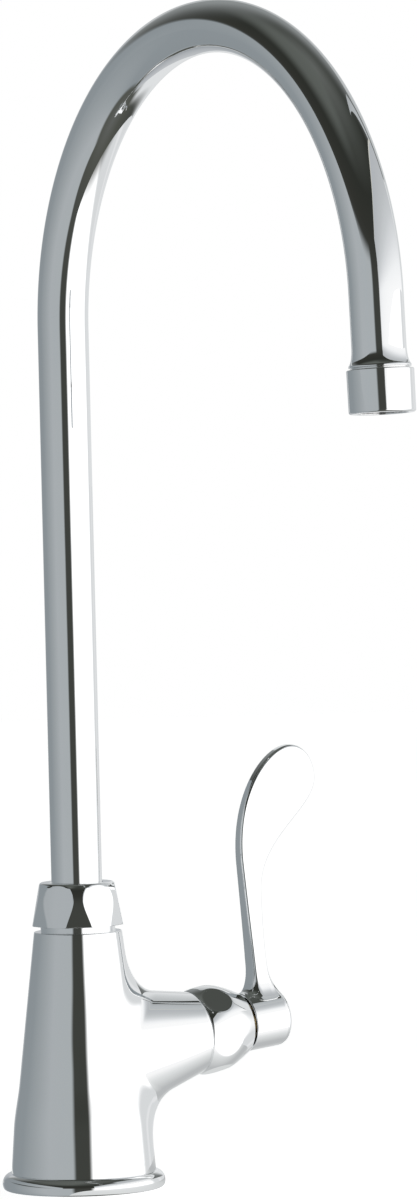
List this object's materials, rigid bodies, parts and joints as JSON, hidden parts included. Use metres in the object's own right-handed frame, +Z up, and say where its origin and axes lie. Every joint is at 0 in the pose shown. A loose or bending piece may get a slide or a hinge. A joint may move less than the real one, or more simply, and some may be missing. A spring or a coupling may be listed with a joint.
{
  "type": "gooseneck faucet",
  "caption": "Single-hole gooseneck faucet: slim conical body on a beaded ring, tall swivelling tube spout with aerator, and a quarter-turn side valve with an upright wrist-blade lever.",
  "frame": {"origin": "centre of the threaded inlet in the underside, level with the deck that the base ring stands on", "axes": "+Z up along the body and riser, -Y towards the spout's outlet, +X towards the valve arm and lever"},
  "size_m": [0.1369, 0.2554, 0.4365],
  "materials": {
    "polished_chrome": "polished chrome plate",
    "plated_brass": "chrome plate",
    "plain_brass": "machined",
    "black_rubber": "moulded",
    "white_acetal": "moulded",
    "white_ceramic": "lapped ceramic",
    "stainless_steel": "plain",
    "steel_mesh": "woven mesh"
  },
  "bodies": {
    "body": {"faucet_body": "polished_chrome", "base_ring": "polished_chrome", "base_gasket": "black_rubber", "spout_nut": "polished_chrome", "spout_slip_ring": "white_acetal", "valve_bonnet": "polished_chrome", "cartridge_body": "plain_brass", "cartridge_o_ring": "black_rubber", "seat_seal": "black_rubber", "fixed_disc": "white_ceramic", "thrust_washer": "white_acetal"},
    "spout": {"spout_tube": "polished_chrome", "spout_sleeve": "plain_brass", "spout_o_rings": "black_rubber", "outlet_adapter": "plated_brass", "aerator_shell": "polished_chrome", "aerator_washer": "black_rubber", "flow_restrictor": "white_acetal", "aerator_insert": "white_acetal", "aerator_screen": "steel_mesh"},
    "lever": {"lever": "polished_chrome", "lever_screw": "stainless_steel", "index_cap": "polished_chrome", "valve_stem": "plain_brass", "stem_o_rings": "black_rubber", "moving_disc": "white_ceramic", "stem_clip": "stainless_steel"}
  },
  "joints": [
    {"name": "spout_swivel", "type": "hinge", "parent": "body", "child": "spout", "pos_m": [0, 0, 0.1], "axis": [0, 0, 1], "continuous": true},
    {"name": "handle_turn", "type": "hinge", "parent": "body", "child": "lever", "pos_m": [0, 0, 0.0497], "axis": [0.9952, 0, 0.0976], "range_deg": [0, 90]}
  ]
}
